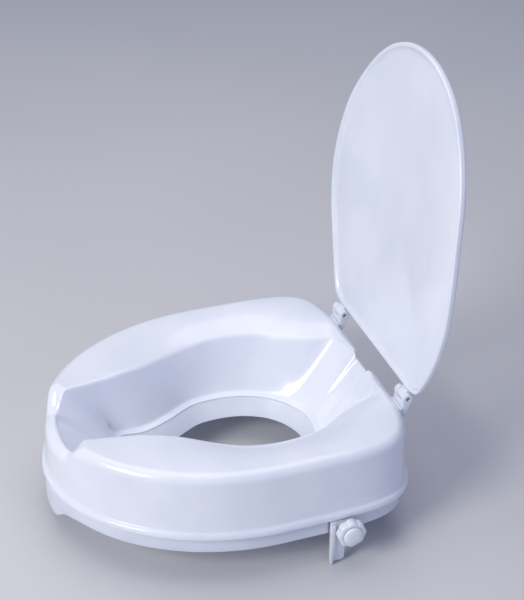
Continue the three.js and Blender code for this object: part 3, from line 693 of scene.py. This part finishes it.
def ringSection(share):
    lip = -ring["lip"] * fadeOut(fromFront(share), ring["lipHalf"] + ring["lipFade"], ring["lipFade"])
    front = fadeOut(fromFront(share), ring["frontHalf"] + ring["frontFade"], ring["frontFade"])
    outset = (ring["inset"] - ring["frontInset"]) * front
    inset, wall, top = ring["inset"], ring["wall"], ring["top"]
    inner = seat["ledge"] + ring["collarLean"]
    outer = lambda depth, z: at3(seatPath(share, depth - outset), z)
    collar = lambda depth, z: at3(ledgePath(share, depth), z)
    return rounded([
        (outer(inset, lip), 1.5, 4), (outer(inset, blend(lip, top, 0.33)), 0, 0),
        (outer(inset, blend(lip, top, 0.66)), 0, 0), (outer(inset, top), 0.8, 3),
        (outer(inset + wall, top), 0.5, 2), (outer(inset + wall, ring["plateHigh"]), 1.5, 3),
        (collar(seat["ledge"] - wall, ring["plateHigh"]), 1.5, 3),
        (collar(seat["ledge"] - wall, top), 0.5, 2), (collar(seat["ledge"], top), 0.8, 3),
        (collar(blend(seat["ledge"], inner, 0.5), top / 2), 0, 0), (collar(inner, 0), 1.2, 4),
        (collar(inner - wall, 0), 0.8, 3), (collar(inner - wall, ring["plateLow"]), 0.8, 2),
        (outer(inset + wall, ring["plateLow"]), 0.8, 2), (outer(inset + wall, lip), 1.2, 3)])


bracketLow, bracketHigh = (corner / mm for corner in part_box("clamp_bracket_left"))
pocketX = bracketLow[0] - ring["pocketBehind"]
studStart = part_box("clamp_stud_left")[0][0] / mm
# where the band's face stands beside the clamp
rearward = ((clampY - seat["widestY"]) / (seat["rear"] - seat["widestY"])) ** seat["rearPower"]
bandX = seat["width"] / 2 * (1 - rearward) ** (1 / seat["rearPower"]) - ring["inset"]

baseRing = ringAroundPlan("base_ring_moulding", ringSection, ring["stations"])
bosses, cuts = [], []
for side in (1, -1):
    span = lambda a, b: (min(side * a, side * b), max(side * a, side * b))
    margin, gap = ring["pocketMargin"], ring["pocketGap"]
    bossX, pocket = span(pocketX - ring["studHold"], bandX - 0.6), span(pocketX, bandX + 10)
    bosses.append(boxPiece((bossX[0], bracketLow[1] - margin, ring["plateLow"]),
                           (bossX[1], bracketHigh[1] + margin, ring["top"])))
    cuts.append(boxPiece((pocket[0], bracketLow[1] - gap, -1),
                         (pocket[1], bracketHigh[1] + gap, ring["top"] + 1)))
    bore = span(studStart - 0.3, pocketX + 1)
    cuts.append(rodPiece((bore[0], clampY, clampZ), bore[1] - bore[0], ring["studBore"], "X"))
for x, y in postPlaces:
    height = ring["top"] - ring["plateLow"]
    bosses.append(rodPiece((x, y, ring["plateLow"]), height, ring["screwBoss"], "Z"))
    cuts.append(rodPiece((x, y, -1), ring["top"] + 2, ring["shank"], "Z", 20))
    cuts.append(rodPiece((x, y, -1), ring["headDepth"] + 1, ring["headRadius"], "Z"))
carve(baseRing, bosses, "UNION")
carve(baseRing, cuts)
settle(baseRing, 45)
finishPiece(baseRing, "base_ring_moulding", "seat", satinWhite, ["base_ring"])
print("base ring done", len(baseRing.data.polygons))


# lid: thin dished plate with a turned lip, modelled closed about its hinge axis, then opened
lid = {"half": 172.5, "length": 396, "rearEdge": 9, "widest": 184, "thickness": 4, "crown": 11, "lip": 4,
       "bow": 9, "flatEnd": 38, "open": 96.2, "under": 0.4, "flatRim": 25, "domeRun": 130,
       "rimRows": 110, "screwRows": (-16, -30), "screwHole": 2.2, "stations": 176}
lidFace = lid["under"] + lid["lip"]
lidBack = lidFace + lid["thickness"]
lidOutline = [
    (0, 1), (0.155, 0.994), (0.3, 0.976), (0.465, 0.94), (0.618, 0.886), (0.76, 0.81), (0.89, 0.707),
    (0.965, 0.58), (1, 0.45), (0.985, 0.328), (0.918, 0.215), (0.84, 0.126), (0.778, 0.072), (0.725, 0.037),
    (0.62, 0.0235), (0.45, 0.0227), (0.2, 0.0227), (0, 0.0227)]
lidPath = mirroredPath([(x * lid["half"], -max(y * lid["length"], lid["rearEdge"])) for x, y in lidOutline])
opened = moved(0, axisY, axisZ) @ Matrix.Rotation(-math.radians(lid["open"]), 4, "X")


def lidBow(y):
    along = min(max((-y - lid["flatEnd"]) / (lid["length"] - lid["flatEnd"]), 0), 1)
    return lid["bow"] * 0.5 * (1 - math.cos(2 * math.pi * along))


def lidColumn(share):
    centre = Vector((0, -lid["widest"]))
    away = lidPath(share) - centre

    def on(inset, z):
        flat = centre + away * (1 - inset / away.length)
        return at3(flat, z - lidBow(flat.y))

    dome = lambda inset: lid["crown"] * ease((inset - lid["flatRim"]) / lid["domeRun"])
    # rows a share of the way out from the middle, then at set distances from the rim
    inward = away.length - lid["rimRows"]
    insets = [away.length - inward * part for part in (0.03, 0.2, 0.4, 0.6, 0.8)]
    insets += [lid["rimRows"], 100, 90, 80, 70, 60, 50, 40, 26, 14]
    corners = [(on(inset, lidFace + dome(inset)), 0, 0) for inset in insets]
    corners += [(on(8, lidFace), 2.6, 5), (on(5, lid["under"]), 1.8, 4), (on(0, lid["under"]), 1.9, 5),
                (on(0, lidBack), 3.6, 7)]
    corners += [(on(inset, lidBack + dome(inset)), 0, 0) for inset in reversed(insets)]
    return rounded(corners)


lidColumns = [lidColumn(crowdedShare(i / lid["stations"], 0.2)) for i in range(lid["stations"])]
lidPiece = loopStack("lid_moulding", lidColumns, closed=False)
carve(lidPiece, [rodPiece((side * hingeX, y, lidFace + 1), 6, lid["screwHole"], "Z", 20)
                 for side in (1, -1) for y in lid["screwRows"]])
lidPiece.data.transform(opened)
settle(lidPiece, 50)
finishPiece(lidPiece, "lid_moulding", "lid", glossWhite, ["lid"])
print("lid done", len(lidPiece.data.polygons))


# hinges: two ears on a screwed plate, a pin, and the lid's knuckle between the ears
hinge = {"ear": 6.5, "earRadius": 6.5, "knuckle": 13.2, "play": 0.4, "pin": 2.5, "pinPlay": 0.3, "plate": 3,
         "plateHeight": 20, "gussetFoot": 8, "gussetLean": 0.42, "saddleDrop": 3, "screwHole": 2.2,
         "headGap": 0.6, "leafLength": 36, "leafWidth": 20, "leaf": 3, "leafGap": 0.3, "neckRound": 3}
pinY, pinZ = axisY / mm, axisZ / mm


def outlinePiece(points, start, end, axis="X"):
    # a flat outline filled and extruded along an axis; points are the two other axes in order
    place = {"X": lambda a, b, c: (c, a, b), "Y": lambda a, b, c: (a, c, b)}[axis]
    clearSelection()
    bpy.ops.mesh.primitive_circle_add(vertices=len(points), radius=0.1)
    piece = bpy.context.object
    bpy.ops.object.mode_set(mode="EDIT")
    mesh = bmesh.from_edit_mesh(piece.data)
    mesh.verts.ensure_lookup_table()
    for vertex, (a, b) in zip(mesh.verts, points):
        vertex.co = Vector(place(a, b, start)) * mm
    bmesh.update_edit_mesh(piece.data)
    bpy.ops.mesh.edge_face_add()
    step = Vector(place(0, 0, end - start)) * mm
    bpy.ops.mesh.extrude_region_move(TRANSFORM_OT_translate={"value": step})
    bpy.ops.mesh.select_all(action="SELECT")
    bpy.ops.mesh.normals_make_consistent(inside=False)
    bpy.ops.object.mode_set(mode="OBJECT")
    return piece


def arcPoints(centre, radius, start, end, steps):
    return [(centre[0] + radius * math.cos(blend(start, end, k / steps)),
             centre[1] + radius * math.sin(blend(start, end, k / steps))) for k in range(steps + 1)]


def hingeBracketPiece(x):
    plateFace = landY + land["plateGap"]
    foot, plateHigh = plateFace + hinge["plate"], plateLow + hinge["plateHeight"]
    outline = [(plateFace, plateLow + hinge["gussetFoot"]), (foot, plateLow + hinge["gussetFoot"])]
    outline += arcPoints((pinY, pinZ), hinge["earRadius"], -hinge["gussetLean"], math.pi + 0.35, 28)
    outline += [(plateFace, plateHigh)]
    inner = hinge["knuckle"] / 2 + hinge["play"]
    half = inner + hinge["ear"]
    piece = boxPiece((x - half + 1, plateFace, plateLow), (x + half - 1, foot, plateHigh))
    bevelEdges(piece, 0.8)
    ears = []
    for start in (x - half, x + inner):
        ear = outlinePiece(outline, start, start + hinge["ear"])
        bevelEdges(ear, 0.9, 4, 40)
        ears.append(ear)
    saddle = boxPiece((x - inner - 1, plateFace + 0.1, plateHigh - hinge["saddleDrop"]),
                      (x + inner + 1, pinY, pinZ - hinge["saddleDrop"]))
    carve(saddle, [rodPiece((x - half, pinY, pinZ), 2 * half, hinge["earRadius"] - 0.1, "X", 64)])
    carve(piece, [saddle] + ears, "UNION")
    holes = [rodPiece((x - half - 1, pinY, pinZ), 2 * half + 2, hinge["pin"] + hinge["pinPlay"], "X", 40)]
    holes += [rodPiece((x, plateFace - 1, plateLow + up), 6, hinge["screwHole"], "Y", 24)
              for up in land["holeHeights"]]
    carve(piece, holes)
    settle(piece, 30)
    return piece


def lidArmPiece(x):
    # modelled about the closed lid's axis
    low = lidBack + hinge["leafGap"]
    high, half, neckEnd = low + hinge["leaf"], hinge["knuckle"] / 2, -(lid["rearEdge"] - 0.6)
    piece = rodPiece((x - half, 0, 0), hinge["knuckle"], hinge["earRadius"] - 0.5, "X", 48)
    bevelEdges(piece, 0.5, 3, 60)
    turn = hinge["neckRound"]
    outline = [(neckEnd, 0), (-1, 0), (-1, high - turn)]
    outline += arcPoints((-1 - turn, high - turn), turn, 0, math.pi / 2, 8)
    outline += [(neckEnd, high)]
    neck = outlinePiece(outline, x - half, x + half)
    bevelEdges(neck, 0.5, 2, 60)
    leaf = boxPiece((x - hinge["leafWidth"] / 2, -hinge["leafLength"], low),
                    (x + hinge["leafWidth"] / 2, neckEnd + 1, high))
    bevelEdges(leaf, 0.9)
    carve(piece, [neck, leaf], "UNION")
    holes = [rodPiece((x - half - 1, 0, 0), hinge["knuckle"] + 2, hinge["pin"] + hinge["pinPlay"], "X", 40)]
    holes += [rodPiece((x, y, low - 1), 6, hinge["screwHole"], "Z", 24) for y in lid["screwRows"]]
    carve(piece, holes)
    piece.data.transform(opened)
    settle(piece, 30)
    return piece


bracketNear = hingeBracketPiece(hingeX)
bracketFar = ownCopy(bracketNear, "hinge_bracket_moulding_right", moved(-2 * hingeX * mm))
armNear = lidArmPiece(hingeX)
armFar = ownCopy(armNear, "lid_arm_moulding_right", moved(-2 * hingeX * mm))
pinNear = rodPiece((pinLow[0] / mm, pinY, pinZ), (pinHigh[0] - pinLow[0]) / mm, hinge["pin"], "X", 40)
bevelEdges(pinNear, 0.5, 3)
settle(pinNear)
pinFar = ownCopy(pinNear, "hinge_pin_turned_right", moved(-2 * hingeX * mm))
hingeSets = (("left", bracketNear, armNear, pinNear), ("right", bracketFar, armFar, pinFar))
for side, bracket, arm, pin in hingeSets:
    for piece, node, ending, body, slotName, material in (
            (bracket, "hinge_bracket", "moulding", "seat", "hardware_white", nylonWhite),
            (arm, "lid_arm", "moulding", "lid", "hardware_white", nylonWhite),
            (pin, "hinge_pin", "turned", "seat", "zinc_steel", zincSteel)):
        finishPiece(piece, f"{node}_{ending}_{side}", body, material, [f"{node}_{side}"])
print("hinges done")


# screws: pan heads with a cross recess, rolled thread
screwSizes = {"ring": {"shank": 1.8, "length": 36, "head": 3.7, "height": 2.6},
              "hinge": {"shank": 1.9, "length": 11, "head": 3.8, "height": 2.2},
              "lid": {"shank": 1.9, "length": 5.4, "head": 3.8, "height": 2.2}}
threads = {"pitch": 1.4, "depth": 0.35, "sides": 20, "stepsPerPitch": 5, "recess": 2.2, "recessWidth": 0.8,
           "recessDepth": 1.5, "ringScrewSeat": 8, "turnBetween": 0.7}


def threadRadius(radius, pitch, depth, along, angle):
    phase = (along / pitch - angle / (2 * math.pi)) % 1
    return radius - depth * min(1, 2.4 * abs(phase - 0.5)) if depth else radius


def screwModel(size):
    # head underside at the origin, shank down -Z
    rows = [(-size["length"], 0.25, 0)]
    steps = int(size["length"] / threads["pitch"] * threads["stepsPerPitch"])
    for k in range(1, steps):
        z = -size["length"] + size["length"] * k / steps
        point = min(1, (z + size["length"]) / size["shank"] * 0.7 + 0.25)
        rows.append((z, size["shank"] * point, threads["depth"] * point * min(1, -z / 1.5)))
    rows += [(-0.1, size["shank"], 0), (0, size["shank"] + 0.1, 0), (0, size["head"] - 0.2, 0),
             (0.15, size["head"], 0), (size["height"] * 0.4, size["head"], 0)]
    for k in range(1, 7):
        angle = k / 7 * math.pi / 2
        rows.append((size["height"] * (0.4 + 0.6 * math.sin(angle)),
                     size["head"] * (0.25 + 0.75 * math.cos(angle)), 0))
    columns = []
    for i in range(threads["sides"]):
        angle = i / threads["sides"] * 2 * math.pi
        column = []
        for z, radius, depth in rows:
            r = threadRadius(radius, threads["pitch"], depth, z, angle)
            column.append(Vector((r * math.cos(angle), r * math.sin(angle), z)))
        columns.append(column)
    piece = loopStack("screw", columns, closed=False)
    reach, width, low = threads["recess"], threads["recessWidth"] / 2, size["height"] - threads["recessDepth"]
    carve(piece, [boxPiece((-reach, -width, low), (reach, width, size["height"] + 1)),
                  boxPiece((-width, -reach, low), (width, reach, size["height"] + 1))])
    settle(piece, 40)
    return piece


ringScrew, hingeScrew, lidScrew = (screwModel(screwSizes[kind]) for kind in ("ring", "hinge", "lid"))
screwPlaces = []
for i, (x, y) in enumerate(postPlaces):
    place = moved(x * mm, y * mm, threads["ringScrewSeat"] * mm) @ Matrix.Rotation(math.pi, 4, "X")
    screwPlaces.append((ringScrew, f"ring_screw_{i + 1}", "seat", place))
for side, sign in (("left", 1), ("right", -1)):
    for i, up in enumerate(land["holeHeights"]):
        headY = landY + hinge["plate"] + hinge["headGap"]
        place = moved(sign * hingeX * mm, headY * mm, (plateLow + up) * mm)
        place = place @ Matrix.Rotation(-math.pi / 2, 4, "X")
        screwPlaces.append((hingeScrew, f"hinge_screw_{side}_{i + 1}", "seat", place))
    for i, y in enumerate(lid["screwRows"]):
        leafTop = lidBack + hinge["leaf"] + hinge["headGap"]
        place = opened @ moved(sign * hingeX * mm, y * mm, leafTop * mm)
        screwPlaces.append((lidScrew, f"lid_screw_{side}_{i + 1}", "lid", place))
for number, (model, node, body, place) in enumerate(screwPlaces):
    # no two crosses stand the same way
    copy = ownCopy(model, node + "_turned", place @ Matrix.Rotation(number * threads["turnBetween"], 4, "Z"))
    finishPiece(copy, node + "_turned", body, zincSteel, [node])
for model in (ringScrew, hingeScrew, lidScrew):
    bpy.data.objects.remove(model)
print("screws done")


# clamps: hanging bracket with its pad, lobed knob on a fixed stud
clamp = {"web": 4, "rib": 5, "ribProud": 3.5, "ribStart": 0.4, "ribDrop": 5, "ribTaper": 4, "legInset": 0.2,
         "foot": 2, "width": 18, "headLow": -6, "padRound": 8.7, "bore": 3.3, "legCorner": 4.5, "knob": 17.5,
         "knobLength": 11, "lobes": 8, "lobeDepth": 1.7, "insert": 5.5, "insertPlay": 0.3, "stud": 3,
         "cap": 12, "capRim": 1.3, "capHeight": 5}


def clampBracketPiece():
    x, y, low = bracketLow
    rear, top = bracketHigh[1], bracketHigh[2]
    legRear, outer = y + clamp["width"], bracketLow[0] + clamp["web"]
    front, foot, corner = y + clamp["legInset"], low + clamp["foot"], clamp["legCorner"]
    leg = [(front, foot), (legRear - corner, foot)]
    leg += arcPoints((legRear - corner, foot + corner), corner, -math.pi / 2, 0, 8)
    leg += [(legRear, clamp["headLow"]), (rear, clamp["headLow"] + 3), (rear, top - 2), (rear - 2, top),
            (front + 1.5, top), (front, top - 1.5)]
    piece = outlinePiece(leg, x, outer)
    # the rib narrows to a pointed foot
    ribRear, ribTop = y + clamp["rib"], top - clamp["ribDrop"]
    ribOutline = [(y, low + 0.5), (y + 1.6, low), (y + 2.6, foot), (ribRear, ribTop - clamp["ribTaper"]),
                  (ribRear, ribTop), (y, ribTop)]
    rib = outlinePiece(ribOutline, x + clamp["ribStart"], outer + clamp["ribProud"])
    thick = clamp["web"] + clamp["ribProud"]
    boss = rodPiece((x + 1, clampY, clampZ), thick - 1, clamp["padRound"], "X", 48)
    carve(piece, [rib, boss], "UNION")
    carve(piece, [rodPiece((x - 1, clampY, clampZ), thick + 2, clamp["bore"], "X", 40)])
    bevelEdges(piece, 0.5, 3, 40)
    settle(piece, 30)
    return piece


def clampPadPiece():
    # ridges across the face that meets the bowl, with valleys between
    low, high = (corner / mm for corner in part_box("clamp_pad_left"))
    count, crest = 6, low[0]
    valley = crest + 1.1
    down = lambda part: blend(high[2], low[2], part / count)
    ridges = [(high[0], low[2]), (high[0], high[2])]
    for k in range(count):
        ridges += [(crest, down(k) - 0.3), (crest, down(k + 0.62))]
        ridges += [(valley, down(k + 0.75)), (valley, down(k + 0.9))]
    ridges[-1] = (valley, low[2])
    piece = outlinePiece(ridges, low[1], high[1], "Y")
    bevelEdges(piece, 0.35, 2)
    settle(piece, 30)
    return piece


def clampKnobPiece():
    # back face at z 0, lobes round the side, rounded shoulders, a flat seat for the cap
    radius, length, cap, sides = clamp["knob"], clamp["knobLength"], clamp["cap"], 128
    profile = [
        (0, 0.35), (0.0, radius - 1.2), (0.35, radius - 0.35), (1.2, radius), (length * 0.5, radius),
        (length - 2.6, radius), (length - 1.4, radius - 0.35), (length - 0.5, radius - 1.1),
        (length, radius - 2.6), (length, cap + 0.6), (length - 0.5, cap + 0.3), (length - 0.5, cap - 1.5),
        (length, cap - 2), (length, 0.35)]
    columns = []
    for i in range(sides):
        angle = i / sides * 2 * math.pi
        groove = clamp["lobeDepth"] * (1 - math.sqrt(math.cos(clamp["lobes"] / 2 * angle) ** 2 * 0.97 + 0.03))
        column = []
        for z, r in profile:
            r = r - groove * ease((r - cap) / 3)
            column.append(Vector((r * math.cos(angle), r * math.sin(angle), z)))
        columns.append(column)
    piece = loopStack("knob", columns, closed=False)
    carve(piece, [rodPiece((0, 0, -1), length, clamp["insert"] + clamp["insertPlay"], "Z", 40)])
    settle(piece, 30)
    return piece


def studPiece(start, end, radius, pitch=2.0, depth=0.35, sides=24):
    steps = int((end - start) / pitch * 6)
    columns = []
    for i in range(sides):
        angle = i / sides * 2 * math.pi
        column = []
        for k in range(steps + 1):
            x = blend(start, end, k / steps)
            tip = min(1, (x - start) / 0.8 * 0.2 + 0.8, (end - x) / 0.8 * 0.2 + 0.8)
            r = threadRadius(radius, pitch, depth, x, angle) * tip
            column.append(Vector((x, r * math.cos(angle), r * math.sin(angle))))
        columns.append(column)
    piece = loopStack("stud", columns, closed=False)
    piece.data.transform(moved(0, clampY * mm, clampZ * mm))
    settle(piece, 40)
    return piece


def onStudAxis(piece, x):
    piece.data.transform(moved(x * mm, clampY * mm, clampZ * mm) @ Matrix.Rotation(math.pi / 2, 4, "Y"))
    settle(piece, 30)
    return piece


def lowX(node):
    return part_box(node)[0][0] / mm


capRadius, capRim = clamp["cap"], clamp["capRim"]
capDome = [(0, 0), (capRadius - 0.3, 0), (capRadius, 0.3), (capRadius, capRim)]
for k in range(1, 12):
    angle = k / 12 * math.pi / 2
    height = capRim + (clamp["capHeight"] - capRim) * math.sin(angle)
    capDome.append((capRadius * math.cos(angle) ** 0.8, height))
capDome.append((0, clamp["capHeight"]))

washerLow, washerHigh = (corner[0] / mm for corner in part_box("clamp_washer_left"))
washer = {"bore": 3.3, "radius": 8, "thick": washerHigh - washerLow}
washerOutline = [
    (washer["bore"], 0.2), (washer["bore"] + 0.2, 0), (washer["radius"] - 0.3, 0), (washer["radius"], 0.3),
    (washer["radius"], washer["thick"] - 0.3), (washer["radius"] - 0.3, washer["thick"]),
    (washer["bore"] + 0.2, washer["thick"]), (washer["bore"], washer["thick"] - 0.2), (washer["bore"], 0.2)]
insertOutline = [  # a groove round the middle holds it in the knob
    (3.3, 0.4), (3.7, 0), (5.1, 0), (5.5, 0.4), (5.5, 3), (5.1, 3.4), (5.1, 6), (5.5, 6.4), (5.5, 9),
    (5.1, 9.4), (3.7, 9.4), (3.3, 9), (3.3, 0.4)]
studLow, studHigh = (corner[0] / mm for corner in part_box("clamp_stud_left"))
knobX, insertX, capX = (lowX(node) for node in ("clamp_knob_left", "knob_insert_left", "knob_cap_left"))
clampSet = [  # node, piece, body, slot, material
    ("clamp_bracket", clampBracketPiece(), "clamp", "hardware_white", nylonWhite),
    ("clamp_pad", clampPadPiece(), "clamp", "rubber", rubber),
    ("clamp_washer", onStudAxis(spunPiece(washerOutline), washerLow), "clamp", "zinc_steel", zincSteel),
    ("clamp_stud", studPiece(studLow, studHigh, clamp["stud"]), "seat", "zinc_steel", zincSteel),
    ("clamp_knob", onStudAxis(clampKnobPiece(), knobX), "knob", "hardware_white", nylonWhite),
    ("knob_insert", onStudAxis(spunPiece(insertOutline), insertX), "knob", "brass", brass),
    ("knob_cap", onStudAxis(spunPiece(capDome, 64), capX), "knob", "hardware_white", nylonWhite),
]
for node, piece, body, slotName, material in clampSet:
    other = ownCopy(piece, node, Matrix.Scale(-1, 4, (1, 0, 0)))
    for side, one in (("left", piece), ("right", other)):
        rider = body if body == "seat" else f"{body}_{side}"
        finishPiece(one, f"{node}_shaped_{side}", rider, material, [f"{node}_{side}"])
print("clamps done")


# anti-slip pads under the ring
padShape = {"length": 46, "width": 16, "thick": 2, "inset": 41.5, "shares": [0.17, 0.38, 0.62, 0.83],
            "rounding": 0.6, "grooves": 5, "grooveRadius": 1.3}


def rimPadModel():
    halfLength, halfWidth = padShape["length"] / 2, padShape["width"] / 2
    piece = boxPiece((-halfLength, -halfWidth, 0), (halfLength, halfWidth, padShape["thick"]))
    bevelEdges(piece, padShape["rounding"])
    cuts = []
    for k in range(padShape["grooves"]):
        x = blend(-halfLength, halfLength, (k + 1) / (padShape["grooves"] + 1))
        start = (x, -halfWidth - 1, -0.5)
        cuts.append(rodPiece(start, padShape["width"] + 2, padShape["grooveRadius"], "Y", 20))
    carve(piece, cuts)
    settle(piece, 30)
    return piece


padModel = rimPadModel()
for i, share in enumerate(padShape["shares"]):
    spot = seatPath(share, padShape["inset"])
    ahead = seatPath(share + 0.0005) - seatPath(share - 0.0005)
    place = moved(spot.x * mm, spot.y * mm) @ Matrix.Rotation(math.atan2(ahead.y, ahead.x), 4, "Z")
    pad = ownCopy(padModel, f"rim_pad_moulded_{i + 1}", place)
    finishPiece(pad, f"rim_pad_moulded_{i + 1}", "seat", rubber, [f"rim_pad_{i + 1}"])
bpy.data.objects.remove(padModel)
print("pads done")
